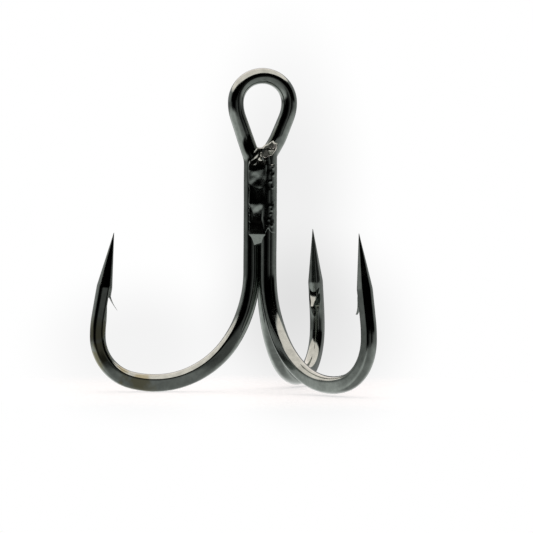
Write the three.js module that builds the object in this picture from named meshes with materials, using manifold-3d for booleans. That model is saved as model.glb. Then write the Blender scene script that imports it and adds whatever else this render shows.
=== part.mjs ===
// Brazed treble hook, size 3/0, in millimetres.
// +Z points up the shank. The origin is the bearing point inside the top of the eye, on the shank's axis.
// A double hook, bent from one wire with the eye in its middle, carries two points at 30 and 150 degrees,
// and its eye is twisted about the shank. A single hook lies in the groove of the double hook and carries
// the third point, at 270 degrees. Brass filler runs in the grooves between the three wires and joins them.

import * as THREE from 'three';
import { mergeVertices } from 'three/addons/utils/BufferGeometryUtils.js';
import Module from 'manifold-3d';

const wasm = await Module();
wasm.setup();

// ---------------------------------------------------------------- driving dimensions

const WIRE_RADIUS = 1.05;
const CAPILLARY_GAP = 0.05; // between two neighbouring wires, where the filler is drawn in
const FILLER_CLEARANCE = 0.03; // between the filler's modelled face and the wire it wets

const DOUBLE_AZIMUTHS = [30, 150];
const SINGLE_AZIMUTH = 270;

const BEND_START_Z = -23.25;
// From the shank to the point, each arc turns by its sweep about the inside of the hook.
const BEND_ARCS = [
  { radius: 15.5, sweep: 33.5 },
  { radius: 11.45, sweep: 70.9 },
  { radius: 5.65, sweep: 74.4 },
  { radius: 12.9, sweep: 10.9 },
];
const POINT_LENGTH = 10.55; // straight stretch from the last arc to the tip

const FORGING_START = 0.3; // share of the first arc after which the hammered flats begin
const FORGING_END = 0.45; // share of the whole bend by which they are full
const THINNING_START = 0.6; // share of the whole bend after which the wire thins toward the point
const FORGED_RADIAL = 1.08; // half thickness in the plane of the bend
const FORGED_LATERAL = 0.86; // half thickness across it, where the wire is hammered flat
const SPEAR_RADIAL = 0.97; // half thickness where the point's stretch begins
const NEEDLE_START = 0.36; // share of the point's stretch after which it tapers
const TIP_RADIUS = 0.03;

const EYE_HALF_WIDTH = 3.42; // centreline, at the widest place
const EYE_RISE = 3.3; // centreline, from the widest place to the top
const EYE_WIRE_RADIUS = 0.975;
const EYE_SIDE_RADIUS = 5.18; // arc from the widest place to the straight leg
const EYE_TURN = -25; // degrees that the eye is twisted about the shank, from the double hook's own plane
const LEG_LEAN = 20.9; // degrees from the shank
const NECK_RADIUS = 3.1; // arc from the straight leg into the shank
const TWIST_RISE = 3.6; // height over which the legs are twisted, from the neck up

const SHEARED_END_Z = -8.35; // of the single hook's wire, on its own axis
const SHEAR_AZIMUTH = 198; // the cut face looks this way and up
const SHEAR_SLOPE = 0.95; // drop of the cut face for each millimetre that way

const FILLER_TOP_Z = -10.4;
const FILLER_TONGUE_Z = -18.5; // below it the filler's face sinks into the groove
const FILLER_BOTTOM_Z = -20.1;
const GROOVE_NARROW_ANGLE = 16; // degrees round the wire from the gap to the filler's inner edge
const GROOVE_FLUSH_ANGLE = 66; // and to its outer edge
const GROOVE_SAG_ANGLE = 3; // less than that, where the face is hollow halfway down
const TONGUE_MIDDLE_SHARE = 0.6; // of the way from the narrow to the flush angle, halfway down the tongue
const TONGUE_END_ANGLE = 6; // past the narrow angle, at the tongue's thin end

const WEB_BOTTOM_Z = -10.3;
const WEB_SIDE_Z = -7.5; // top of the web where it meets the eye's legs
const WEB_SAG_Z = -7.95; // and midway between them
const WEB_HALF_WIDTH = 1.3;
const WEB_HALF_THICKNESS = 0.55;

const SECTION_SIDES = 14; // even, half of them on each rounded flank
const ARC_STEP = 6.5; // degrees of bend between two sections
const POINT_STEPS = 9;
const EYE_ARC_STEPS = 5; // in the neck's and in the eye's side arc
const EYE_TOP_STEPS = 13; // from the eye's widest place to its top
const LEG_STEPS = 4; // in the eye's straight legs
const SHANK_STEPS = 5;
const GROOVE_STEPS = 6; // round each wire's face

// ---------------------------------------------------------------- worked out from them

const radians = THREE.MathUtils.degToRad;
const lerp = THREE.MathUtils.lerp;
const smooth = THREE.MathUtils.smoothstep;

const WIRE_PITCH = 2 * WIRE_RADIUS + CAPILLARY_GAP;
const WIRE_OFFSET = WIRE_PITCH / Math.sqrt(3); // from the shank's axis to each wire's
const GROOVE_AZIMUTHS = { right: 330, left: 210, rear: 90 };
const ROUND_EDGE_ANGLE = 90 - 180 / SECTION_SIDES; // edge of the flat that gives a regular polygon
const CHANNEL_HALF_ARC = 30 - GROOVE_NARROW_ANGLE; // of each wire that faces the channel between all three

const EYE_TOP_Z = EYE_WIRE_RADIUS; // centreline
const EYE_WIDEST_Z = EYE_TOP_Z - EYE_RISE;

const UP = new THREE.Vector3(0, 0, 1);

function azimuthVector(degrees) {
  return new THREE.Vector3(Math.cos(radians(degrees)), Math.sin(radians(degrees)), 0);
}

// ---------------------------------------------------------------- solids from sections

// A closed body from rings of the same number of points, each ring joined to the next, with flat ends.
function loft(rings, capOutline) {
  const sides = rings[0].length;
  const index = [];
  for (let ring = 0; ring < rings.length - 1; ring += 1) {
    for (let side = 0; side < sides; side += 1) {
      const next = (side + 1) % sides;
      const a = ring * sides + side;
      const b = ring * sides + next;
      index.push(a, b, a + sides, b, b + sides, a + sides);
    }
  }
  const last = (rings.length - 1) * sides;
  for (const [a, b, c] of THREE.ShapeUtils.triangulateShape(capOutline, [])) {
    index.push(a, c, b, last + a, last + b, last + c);
  }
  const geometry = new THREE.BufferGeometry();
  const positions = rings.flat().flatMap((point) => [point.x, point.y, point.z]);
  geometry.setAttribute('position', new THREE.Float32BufferAttribute(positions, 3));
  geometry.setIndex(index);
  return geometry;
}

// A wire's section: two rounded flanks, at the inside and the outside of the bend, and two flats.
// lateral is the half thickness at the flats; it equals radial where the wire is still round.
function wireSection(station) {
  const edge = Math.min(radians(ROUND_EDGE_ANGLE), Math.asin(Math.min(1, station.lateral / station.radial)));
  const perFlank = SECTION_SIDES / 2;
  const points = [];
  for (const middle of [0, Math.PI]) {
    for (let k = 0; k < perFlank; k += 1) {
      const angle = middle + lerp(-edge, edge, k / (perFlank - 1));
      points.push(new THREE.Vector2(Math.cos(angle), Math.sin(angle)).multiplyScalar(station.radial));
    }
  }
  return points;
}

function wireRing(station, spread = 0) {
  const grown = { radial: station.radial + spread, lateral: station.lateral + spread };
  return wireSection(grown).map((point) =>
    station.centre.clone().addScaledVector(station.inward, point.x).addScaledVector(station.across, point.y));
}

function wireSolid(stations, spread = 0) {
  return loft(stations.map((station) => wireRing(station, spread)), wireSection(stations[0]));
}

// ---------------------------------------------------------------- the hook, in its own plane

// Stations from the top of the bend to the tip, as distance u from the shank's axis, height z,
// heading in degrees from straight down, and path length s.
function bendStations() {
  const stations = [];
  let u = WIRE_OFFSET;
  let z = BEND_START_Z;
  let heading = 0;
  let s = 0;
  for (const arc of BEND_ARCS) {
    const steps = Math.ceil(arc.sweep / ARC_STEP);
    const centreU = u + arc.radius * Math.cos(radians(heading));
    const centreZ = z + arc.radius * Math.sin(radians(heading));
    for (let k = 0; k < steps; k += 1) {
      const angle = heading + (arc.sweep * k) / steps;
      stations.push({
        u: centreU - arc.radius * Math.cos(radians(angle)),
        z: centreZ - arc.radius * Math.sin(radians(angle)),
        heading: angle,
        s: s + arcLength(arc) * (k / steps),
      });
    }
    heading += arc.sweep;
    s += arcLength(arc);
    u = centreU - arc.radius * Math.cos(radians(heading));
    z = centreZ - arc.radius * Math.sin(radians(heading));
  }
  for (let k = 0; k <= POINT_STEPS; k += 1) {
    const along = (POINT_LENGTH * k) / POINT_STEPS;
    stations.push({
      u: u + along * Math.sin(radians(heading)),
      z: z - along * Math.cos(radians(heading)),
      heading,
      s: s + along,
    });
  }
  return stations;
}

const arcLength = (arc) => arc.radius * radians(arc.sweep);
const BEND_LENGTH = BEND_ARCS.reduce((sum, arc) => sum + arcLength(arc), 0);
const NEEDLE_S = BEND_LENGTH + NEEDLE_START * POINT_LENGTH;
const TIP_S = BEND_LENGTH + POINT_LENGTH;

// Half thicknesses at a path length: round shank, forged bend, then a long needle taper.
function thickness(s) {
  const forged = smooth(s, FORGING_START * arcLength(BEND_ARCS[0]), FORGING_END * BEND_LENGTH);
  const thinned = smooth(s, THINNING_START * BEND_LENGTH, BEND_LENGTH);
  const radial = lerp(lerp(WIRE_RADIUS, FORGED_RADIAL, forged), SPEAR_RADIAL, thinned);
  const lateral = lerp(WIRE_RADIUS, FORGED_LATERAL, forged);
  if (s <= NEEDLE_S) {
    return { radial, lateral };
  }
  const taper = (s - NEEDLE_S) / (TIP_S - NEEDLE_S);
  return {
    radial: lerp(SPEAR_RADIAL, TIP_RADIUS, taper),
    lateral: lerp(FORGED_LATERAL, TIP_RADIUS, taper),
  };
}

// The bend and point in the plane at an azimuth, from the tip to the top of the bend.
function hookStations(azimuth) {
  const outward = azimuthVector(azimuth);
  const across = UP.clone().cross(outward);
  return bendStations().reverse().map(({ u, z, heading, s }) => ({
    centre: outward.clone().multiplyScalar(u).addScaledVector(UP, z),
    inward: outward.clone().multiplyScalar(Math.cos(radians(heading)))
      .addScaledVector(UP, Math.sin(radians(heading))),
    across,
    ...thickness(s),
  }));
}

// ---------------------------------------------------------------- the barb

// A sliver raised by a chisel from the inside of the point, leaning away from the tip. Each outline lists
// distance back from the tip, distance inside the wire's skin and half width across.
const BARB_SLIVER = [
  [8.5, -0.45, 0.5],
  [7.3, -0.05, 0.4],
  [7.9, 0.12, 0.55],
  [9.45, 1.12, 0.22],
  [8.35, -0.12, 0.55],
];
const BARB_CUT = [
  [8.3, -0.12, 0.7],
  [8.1, 0.4, 0.7],
  [10, 0.4, 0.7],
  [10, 0, 0.7],
];

// A point beside the point's stretch: at path length s, a distance off its axis to the inside.
function besidePoint(azimuth, s, inside, sideways) {
  const heading = BEND_ARCS.reduce((sum, arc) => sum + arc.sweep, 0);
  const start = bendStations().find((station) => station.s >= BEND_LENGTH - 1e-6);
  const outward = azimuthVector(azimuth);
  const across = UP.clone().cross(outward);
  const along = s - BEND_LENGTH;
  const forward = outward.clone().multiplyScalar(Math.sin(radians(heading)))
    .addScaledVector(UP, -Math.cos(radians(heading)));
  const inward = outward.clone().multiplyScalar(Math.cos(radians(heading)))
    .addScaledVector(UP, Math.sin(radians(heading)));
  return outward.clone().multiplyScalar(start.u).addScaledVector(UP, start.z)
    .addScaledVector(forward, along).addScaledVector(inward, inside).addScaledVector(across, sideways);
}

// A prism across the hook's plane from one of the outlines above.
function barbPrism(azimuth, barbOutline) {
  const outline = barbOutline.map(([back, proud, half]) => [TIP_S - back, SPEAR_RADIAL + proud, half]);
  const flat = outline.map(([s, inside]) => new THREE.Vector2(inside, s));
  const ordered = THREE.ShapeUtils.isClockWise(flat) ? [...outline].reverse() : outline;
  const rings = [-1, 1].map((side) =>
    ordered.map(([s, inside, half]) => besidePoint(azimuth, s, inside, side * half)));
  return loft(rings, ordered.map(([s, inside]) => new THREE.Vector2(inside, s)));
}

// ---------------------------------------------------------------- the eye and the shanks

// Centreline of the right half of the eye, from the shank up to the top, as half width x and height z.
function eyeOutline() {
  const lean = radians(LEG_LEAN);
  const shankX = WIRE_OFFSET * Math.cos(radians(DOUBLE_AZIMUTHS[0]));
  const legTop = {
    x: EYE_HALF_WIDTH - EYE_SIDE_RADIUS * (1 - Math.cos(lean)),
    z: EYE_WIDEST_Z - EYE_SIDE_RADIUS * Math.sin(lean),
  };
  const legFootX = shankX + NECK_RADIUS * (1 - Math.cos(lean));
  const legFootZ = legTop.z - (legTop.x - legFootX) / Math.tan(lean);
  const neckZ = legFootZ - NECK_RADIUS * Math.sin(lean);
  const points = [];
  for (let k = 0; k <= EYE_ARC_STEPS; k += 1) {
    const angle = (lean * k) / EYE_ARC_STEPS;
    points.push({
      x: shankX + NECK_RADIUS * (1 - Math.cos(angle)),
      z: neckZ + NECK_RADIUS * Math.sin(angle),
      turn: -angle,
    });
  }
  for (let k = 1; k < LEG_STEPS; k += 1) {
    const share = k / LEG_STEPS;
    points.push({ x: lerp(legFootX, legTop.x, share), z: lerp(legFootZ, legTop.z, share), turn: -lean });
  }
  for (let k = 0; k <= EYE_ARC_STEPS; k += 1) {
    const angle = lean * (1 - k / EYE_ARC_STEPS);
    points.push({
      x: EYE_HALF_WIDTH - EYE_SIDE_RADIUS * (1 - Math.cos(angle)),
      z: EYE_WIDEST_Z - EYE_SIDE_RADIUS * Math.sin(angle),
      turn: -angle,
    });
  }
  for (let k = 1; k <= EYE_TOP_STEPS; k += 1) {
    const angle = (Math.PI / 2) * (k / EYE_TOP_STEPS);
    points.push({
      x: EYE_HALF_WIDTH * Math.cos(angle),
      z: EYE_WIDEST_Z + EYE_RISE * Math.sin(angle),
      turn: Math.atan2(Math.sin(angle) * EYE_HALF_WIDTH, Math.cos(angle) * EYE_RISE),
    });
  }
  return points;
}

// Half of the double hook's wire, from the tip at the right to the middle of the eye, before the twist.
function doubleHalfStations() {
  const [azimuth] = DOUBLE_AZIMUTHS;
  const shankY = WIRE_OFFSET * Math.sin(radians(azimuth));
  const eye = eyeOutline();
  const neckZ = eye[0].z;
  const shank = [];
  for (let k = 1; k < SHANK_STEPS; k += 1) {
    const share = k / SHANK_STEPS;
    const inward = azimuthVector(lerp(azimuth, 0, share));
    shank.push({
      centre: new THREE.Vector3(eye[0].x, shankY, lerp(BEND_START_Z, neckZ, share)),
      inward,
      across: UP.clone().cross(inward),
      radial: WIRE_RADIUS,
      lateral: WIRE_RADIUS,
    });
  }
  const head = eye.map(({ x, z, turn }) => {
    const radius = lerp(WIRE_RADIUS, EYE_WIRE_RADIUS, smooth(z, neckZ, EYE_WIDEST_Z));
    const forward = smooth(z, neckZ, EYE_WIDEST_Z); // off the shank's back and onto its axis
    return {
      centre: new THREE.Vector3(x, shankY * (1 - forward), z),
      inward: new THREE.Vector3(Math.cos(turn), 0, Math.sin(turn)),
      across: new THREE.Vector3(0, 1, 0),
      radial: radius,
      lateral: radius,
    };
  });
  return [...hookStations(azimuth), ...shank, ...head];
}

function mirrored(station) {
  const flip = new THREE.Vector3(-1, 1, 1);
  return {
    ...station,
    centre: station.centre.clone().multiply(flip),
    inward: station.inward.clone().multiply(flip),
    across: station.across.clone().multiply(flip),
  };
}

// The twist grows smoothly from the neck up.
function twisted(station) {
  const neckZ = eyeOutline()[0].z;
  const turn = radians(EYE_TURN) * smooth(station.centre.z, neckZ, neckZ + TWIST_RISE);
  return {
    ...station,
    centre: station.centre.clone().applyAxisAngle(UP, turn),
    inward: station.inward.clone().applyAxisAngle(UP, turn),
    across: station.across.clone().applyAxisAngle(UP, turn),
  };
}

function doubleStations() {
  const half = doubleHalfStations();
  return [...half, ...half.slice(0, -1).reverse().map(mirrored)].map(twisted);
}

function singleStations() {
  const outward = azimuthVector(SINGLE_AZIMUTH);
  const cut = azimuthVector(SHEAR_AZIMUTH);
  const across = UP.clone().cross(outward);
  const top = {
    centre: outward.clone().multiplyScalar(WIRE_OFFSET).setZ(SHEARED_END_Z),
    inward: outward.clone().addScaledVector(UP, -SHEAR_SLOPE * outward.dot(cut)),
    across: across.clone().addScaledVector(UP, -SHEAR_SLOPE * across.dot(cut)),
    radial: WIRE_RADIUS,
    lateral: WIRE_RADIUS,
  };
  return [...hookStations(SINGLE_AZIMUTH), top];
}

// ---------------------------------------------------------------- the filler metal

// The filler in one outer groove, lofted down the shank. In the groove's own axes, g points out of the
// shank and l across the groove, and each face follows the wire at an angle from the gap.
function grooveFiller(azimuth) {
  const out = azimuthVector(azimuth);
  const over = UP.clone().cross(out);
  const face = WIRE_RADIUS + FILLER_CLEARANCE;
  const outline = (reach) => {
    const points = [];
    for (const side of [1, -1]) {
      for (let k = 0; k <= GROOVE_STEPS; k += 1) {
        const share = side > 0 ? k / GROOVE_STEPS : 1 - k / GROOVE_STEPS;
        const angle = radians(lerp(reach, GROOVE_NARROW_ANGLE, share));
        const g = WIRE_OFFSET / 2 + face * Math.sin(angle);
        const l = side * (WIRE_PITCH / 2 - face * Math.cos(angle));
        points.push(new THREE.Vector2(g, l));
      }
    }
    return points;
  };
  const tongueAngle = lerp(GROOVE_NARROW_ANGLE, GROOVE_FLUSH_ANGLE, TONGUE_MIDDLE_SHARE);
  const levels = [
    [FILLER_BOTTOM_Z, GROOVE_NARROW_ANGLE + TONGUE_END_ANGLE],
    [(FILLER_BOTTOM_Z + FILLER_TONGUE_Z) / 2, tongueAngle],
    [FILLER_TONGUE_Z, GROOVE_FLUSH_ANGLE],
    [(FILLER_TONGUE_Z + FILLER_TOP_Z) / 2, GROOVE_FLUSH_ANGLE - GROOVE_SAG_ANGLE],
    [FILLER_TOP_Z, GROOVE_FLUSH_ANGLE],
  ];
  const rings = levels.map(([z, reach]) => outline(reach).map((point) =>
    out.clone().multiplyScalar(point.x).addScaledVector(over, point.y).setZ(z)));
  return loft(rings, outline(GROOVE_FLUSH_ANGLE));
}

// The filler in the channel that the three wires enclose.
function coreFiller() {
  const face = WIRE_RADIUS + FILLER_CLEARANCE;
  const outline = [];
  for (const azimuth of [...DOUBLE_AZIMUTHS, SINGLE_AZIMUTH]) {
    const centre = azimuthVector(azimuth).multiplyScalar(WIRE_OFFSET);
    for (const turn of [CHANNEL_HALF_ARC, 0, -CHANNEL_HALF_ARC]) {
      const toAxis = azimuthVector(azimuth + 180 + turn).multiplyScalar(face);
      outline.push(new THREE.Vector2(centre.x + toAxis.x, centre.y + toAxis.y));
    }
  }
  const rings = [FILLER_BOTTOM_Z, FILLER_TOP_Z].map((z) =>
    outline.map((point) => new THREE.Vector3(point.x, point.y, z)));
  return loft(rings, outline);
}

// The web of filler that closes the crotch of the eye, behind the single hook's sheared end.
function eyeWebBlank() {
  const shape = new THREE.Shape();
  shape.moveTo(-WEB_HALF_WIDTH, WEB_BOTTOM_Z);
  shape.lineTo(WEB_HALF_WIDTH, WEB_BOTTOM_Z);
  shape.lineTo(WEB_HALF_WIDTH, WEB_SIDE_Z);
  shape.quadraticCurveTo(0, 2 * WEB_SAG_Z - WEB_SIDE_Z, -WEB_HALF_WIDTH, WEB_SIDE_Z);
  shape.closePath();
  const blank = new THREE.ExtrudeGeometry(shape, {
    depth: 2 * WEB_HALF_THICKNESS, bevelEnabled: false, curveSegments: 8,
  });
  blank.rotateX(Math.PI / 2);
  blank.translate(0, WEB_HALF_THICKNESS + WIRE_OFFSET / 2, 0);
  return blank;
}

// ---------------------------------------------------------------- booleans

function toManifold(geometry) {
  const bare = geometry.clone();
  bare.deleteAttribute('normal');
  bare.deleteAttribute('uv');
  const merged = mergeVertices(bare, 1e-5);
  return new wasm.Manifold(new wasm.Mesh({
    numProp: 3,
    vertProperties: new Float32Array(merged.attributes.position.array),
    triVerts: new Uint32Array(merged.index.array),
  }));
}

function toGeometry(manifold) {
  const { vertProperties, triVerts } = manifold.getMesh();
  const geometry = new THREE.BufferGeometry();
  geometry.setAttribute('position', new THREE.BufferAttribute(new Float32Array(vertProperties), 3));
  geometry.setIndex(new THREE.BufferAttribute(new Uint32Array(triVerts), 1));
  return geometry;
}

function withBarbs(wire, azimuths) {
  let solid = toManifold(wire);
  for (const azimuth of azimuths) {
    solid = solid.subtract(toManifold(barbPrism(azimuth, BARB_CUT)));
    solid = solid.add(toManifold(barbPrism(azimuth, BARB_SLIVER)));
  }
  return toGeometry(solid);
}

function eyeWeb() {
  const wires = [doubleStations(), singleStations()].map((stations) => wireSolid(stations, FILLER_CLEARANCE));
  const web = wires.reduce((solid, wire) => solid.subtract(toManifold(wire)), toManifold(eyeWebBlank()));
  return toGeometry(web);
}

// ---------------------------------------------------------------- the assembly

const blackNickel = { color: 0x2a302d, metalness: 1, roughness: 0.22 };
const platedFiller = { color: 0x3a413c, metalness: 1, roughness: 0.38 };

const treble = new THREE.Group();

function addPiece(name, geometry, finish) {
  const mesh = new THREE.Mesh(geometry, new THREE.MeshStandardMaterial(finish));
  mesh.name = name;
  geometry.computeVertexNormals();
  treble.add(mesh);
}

addPiece('double_hook_wire', withBarbs(wireSolid(doubleStations()), DOUBLE_AZIMUTHS), blackNickel);
addPiece('single_hook_wire', withBarbs(wireSolid(singleStations()), [SINGLE_AZIMUTH]), blackNickel);
for (const [side, azimuth] of Object.entries(GROOVE_AZIMUTHS)) {
  addPiece(`braze_${side}_groove`, grooveFiller(azimuth), platedFiller);
}
addPiece('braze_core', coreFiller(), platedFiller);
addPiece('braze_eye_web', eyeWeb(), platedFiller);

export default treble;
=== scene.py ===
"""Looks of a brazed treble hook in black nickel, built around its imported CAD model.

Both wires are swept again at a finer step, with forged flats, cut barbs and a torn end on the single hook.
The filler metal is built in polar form about the shank. Lengths are millimetres until a mesh is made.
"""
import math

import bmesh
import bpy
import numpy as np
from mathutils import Matrix, Vector


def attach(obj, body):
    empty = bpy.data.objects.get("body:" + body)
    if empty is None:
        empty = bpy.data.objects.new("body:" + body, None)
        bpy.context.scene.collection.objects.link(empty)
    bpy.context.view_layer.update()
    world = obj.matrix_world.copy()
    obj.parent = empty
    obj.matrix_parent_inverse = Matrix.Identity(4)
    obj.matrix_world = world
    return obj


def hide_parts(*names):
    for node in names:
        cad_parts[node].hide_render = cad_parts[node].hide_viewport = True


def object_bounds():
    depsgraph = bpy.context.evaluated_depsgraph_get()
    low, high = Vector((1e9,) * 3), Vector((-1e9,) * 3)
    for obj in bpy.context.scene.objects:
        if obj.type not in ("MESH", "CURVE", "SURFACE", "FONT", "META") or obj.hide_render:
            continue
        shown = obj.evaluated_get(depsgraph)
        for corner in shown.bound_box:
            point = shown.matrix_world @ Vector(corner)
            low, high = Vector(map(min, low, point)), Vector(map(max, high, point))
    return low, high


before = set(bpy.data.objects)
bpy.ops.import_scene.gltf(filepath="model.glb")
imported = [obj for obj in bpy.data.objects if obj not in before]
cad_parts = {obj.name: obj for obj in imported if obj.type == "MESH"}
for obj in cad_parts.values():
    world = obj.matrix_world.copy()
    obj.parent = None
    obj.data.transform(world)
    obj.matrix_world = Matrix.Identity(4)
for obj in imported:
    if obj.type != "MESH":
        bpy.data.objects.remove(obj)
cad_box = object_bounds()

MM = 0.001

# ---------------------------------------------------------------- sizes shared with the CAD model

WIRE_RADIUS = 1.05
WIRE_OFFSET = (2 * WIRE_RADIUS + 0.05) / math.sqrt(3)  # from the shank's axis to each wire's
RIGHT, LEFT, SINGLE = 30, 150, 270  # azimuths of the three hooks
BEND_START_Z = -23.25
BEND_ARCS = [(15.5, 33.5), (11.45, 70.9), (5.65, 74.4), (12.9, 10.9)]  # radius, sweep
POINT_LENGTH = 10.55
FORGED_RADIAL = 1.08
FORGED_LATERAL = 0.86
SPEAR_RADIAL = 0.97
NEEDLE_START = 0.36
TIP_RADIUS = 0.03
EYE_HALF_WIDTH = 3.42
EYE_RISE = 3.3
EYE_WIRE_RADIUS = 0.975
EYE_WIDEST_Z = EYE_WIRE_RADIUS - EYE_RISE
EYE_SIDE_RADIUS = 5.18
EYE_TURN = math.radians(-25)
LEG_LEAN = math.radians(20.9)
NECK_RADIUS = 3.1
TWIST_RISE = 3.6
SHEARED_END_Z = -8.35
SHEAR_AZIMUTH = 198
SHEAR_SLOPE = 0.95
FLOOR_Z = cad_box[0][2] / MM
HOOK_RISE = 0.12  # how much higher the right and the single hooks' bends sit than in the CAD model
LEFT_DROP = 0.14  # and how much lower the left hook's bend hangs
RISE_LENGTH = 8  # path length over which either comes in

# ---------------------------------------------------------------- fineness of the visual meshes

SWEEP_STEP = 0.16
NECK_STATIONS, LEG_STATIONS, SIDE_STATIONS, TOP_STATIONS = 8, 24, 13, 40  # along half of the eye
FLANK_POINTS = 9  # in each quarter of a section, on the rounded flank
FLAT_POINTS = 6  # and on the flat
EDGE_SHARPNESS = 26  # of the forged edges: higher is crisper
EDGE_LIMITS = (0.1, 0.93)  # of the sine of a flat's edge, so that a section keeps both flank and flat
UNCLIPPED = 1.3  # half thickness at which the hammer hasn't reached the round wire
DENT_DEPTH = 0.006
SHARP_DEGREES = 34  # edges that turn by more than this stay crisp
PLAIN_RING_STEP = 0.1  # length of grain given to each ring of a tube whose path isn't measured

UP = np.array([0.0, 0.0, 1.0])


def smooth(value, low, high):
    """Smoothstep from 0 at low to 1 at high."""
    share = np.clip((np.asarray(value, float) - low) / (high - low), 0, 1)
    return share * share * (3 - 2 * share)


def lerp(a, b, share):
    return a + (b - a) * share


def azimuth_vector(degrees):
    angle = math.radians(degrees)
    return np.array([math.cos(angle), math.sin(angle), 0.0])


def waves(seed, fields, count=14, low=0.4, high=2.6):
    """A smooth, seeded ripple between about -1 and 1 over the given coordinate arrays."""
    rng = np.random.default_rng(seed)
    total = 0
    for _ in range(count):
        pull = rng.uniform(low, high, len(fields)) * rng.choice([-1, 1], len(fields))
        total = total + np.sin(sum(k * f for k, f in zip(pull, fields)) + rng.uniform(0, 2 * math.pi))
    return total / math.sqrt(count)


# ---------------------------------------------------------------- meshes


def make_object(name, vertices, faces, uvs=None):
    """A mesh object from points in millimetres; uvs has one pair for each face corner, in face order."""
    mesh = bpy.data.meshes.new(name)
    mesh.from_pydata((np.asarray(vertices) * MM).tolist(), [], [list(map(int, f)) for f in faces])
    if uvs is not None:
        layer = mesh.uv_layers.new(name="grain")
        layer.data.foreach_set("uv", np.asarray(uvs, np.float32).ravel())
    mesh.validate()
    obj = bpy.data.objects.new(name, mesh)
    bpy.context.scene.collection.objects.link(obj)
    return obj


def tube(name, rings, uv_along=None):
    """A closed tube from an array of rings (ring, side, xyz). Each end closes on its ring's middle."""
    count, sides = rings.shape[:2]
    along = np.arange(count) * PLAIN_RING_STEP if uv_along is None else uv_along
    vertices = list(rings.reshape(-1, 3))
    faces, uvs = [], []
    for ring in range(count - 1):
        for side in range(sides):
            turn = (side + 1) % sides
            a, b = ring * sides + side, ring * sides + turn
            faces.append((a, b, b + sides, a + sides))
            u0, u1 = side / sides, (side + 1) / sides
            v0, v1 = along[ring], along[ring + 1]
            uvs += [(u0, v0), (u1, v0), (u1, v1), (u0, v1)]
    for ring, flip in ((0, True), (count - 1, False)):
        vertices.append(rings[ring].mean(0))
        for side in range(sides):
            turn = (side + 1) % sides
            a, b = ring * sides + side, ring * sides + turn
            faces.append((b, a, len(vertices) - 1) if flip else (a, b, len(vertices) - 1))
            uvs += [(side / sides, along[ring])] * 3
    return make_object(name, vertices, faces, uvs)


def finish_shading(obj):
    """Smooth shading, with the edges that turn by more than SHARP_DEGREES kept crisp."""
    mesh = obj.data
    mesh.shade_smooth()
    normals = np.array([p.normal[:] for p in mesh.polygons])
    edge_faces = {}
    for polygon in mesh.polygons:
        for key in polygon.edge_keys:
            edge_faces.setdefault(key, []).append(polygon.index)
    limit = math.cos(math.radians(SHARP_DEGREES))
    for edge in mesh.edges:
        pair = edge_faces.get(tuple(sorted(edge.vertices)), [])
        edge.use_edge_sharp = len(pair) == 2 and float(normals[pair[0]] @ normals[pair[1]]) < limit


def boolean(obj, other, operation):
    """Applies one exact boolean of other on obj, and removes other."""
    modifier = obj.modifiers.new(operation.lower(), "BOOLEAN")
    modifier.operation = operation
    modifier.object = other
    modifier.solver = "EXACT"
    bpy.context.view_layer.update()
    evaluated = obj.evaluated_get(bpy.context.evaluated_depsgraph_get())
    mesh = bpy.data.meshes.new_from_object(evaluated)
    obj.modifiers.clear()
    obj.data = mesh
    bpy.data.objects.remove(other)


# ---------------------------------------------------------------- the hook's curve


def bend_curve():
    """The bend and the point in the hook's plane, from the shank to the tip:
    rows of distance from the shank's axis, height, heading from straight down and path length."""
    rows = []
    u, z, heading, s = WIRE_OFFSET, BEND_START_Z, 0.0, 0.0
    for radius, degrees in BEND_ARCS:
        sweep = math.radians(degrees)
        centre_u = u + radius * math.cos(heading)
        centre_z = z + radius * math.sin(heading)
        for share in np.linspace(0, 1, math.ceil(radius * sweep / SWEEP_STEP), endpoint=False):
            angle = heading + sweep * share
            rows.append((centre_u - radius * math.cos(angle), centre_z - radius * math.sin(angle),
                         angle, s + radius * sweep * share))
        heading += sweep
        s += radius * sweep
        u, z = centre_u - radius * math.cos(heading), centre_z - radius * math.sin(heading)
    for along in np.linspace(0, POINT_LENGTH, math.ceil(POINT_LENGTH / SWEEP_STEP)):
        rows.append((u + along * math.sin(heading), z - along * math.cos(heading), heading, s + along))
    return np.array(rows)


BEND_LENGTH = sum(radius * math.radians(sweep) for radius, sweep in BEND_ARCS)
TIP_S = BEND_LENGTH + POINT_LENGTH
NEEDLE_S = BEND_LENGTH + NEEDLE_START * POINT_LENGTH
FORGING = (2.6, 10.5)  # path lengths between which the hammered flats come in
THINNING = (0.6 * BEND_LENGTH, BEND_LENGTH)  # and those between which the wire thins to the spear
TIP_FLATNESS = 0.9  # the tip's lateral thickness over its radial one


def thickness(s):
    """Half thicknesses (in the bend's plane, at the flats) at path lengths from the top of the bend."""
    forged = smooth(s, *FORGING)
    thinned = smooth(s, *THINNING)
    radial = lerp(lerp(WIRE_RADIUS, FORGED_RADIAL, forged), SPEAR_RADIAL, thinned)
    lateral = lerp(UNCLIPPED, FORGED_LATERAL, forged)
    taper = np.clip((s - NEEDLE_S) / (TIP_S - NEEDLE_S), 0, 1)
    radial = lerp(radial, TIP_RADIUS, taper)
    lateral = lerp(lateral, TIP_RADIUS * TIP_FLATNESS, taper)
    return radial, lateral


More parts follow.
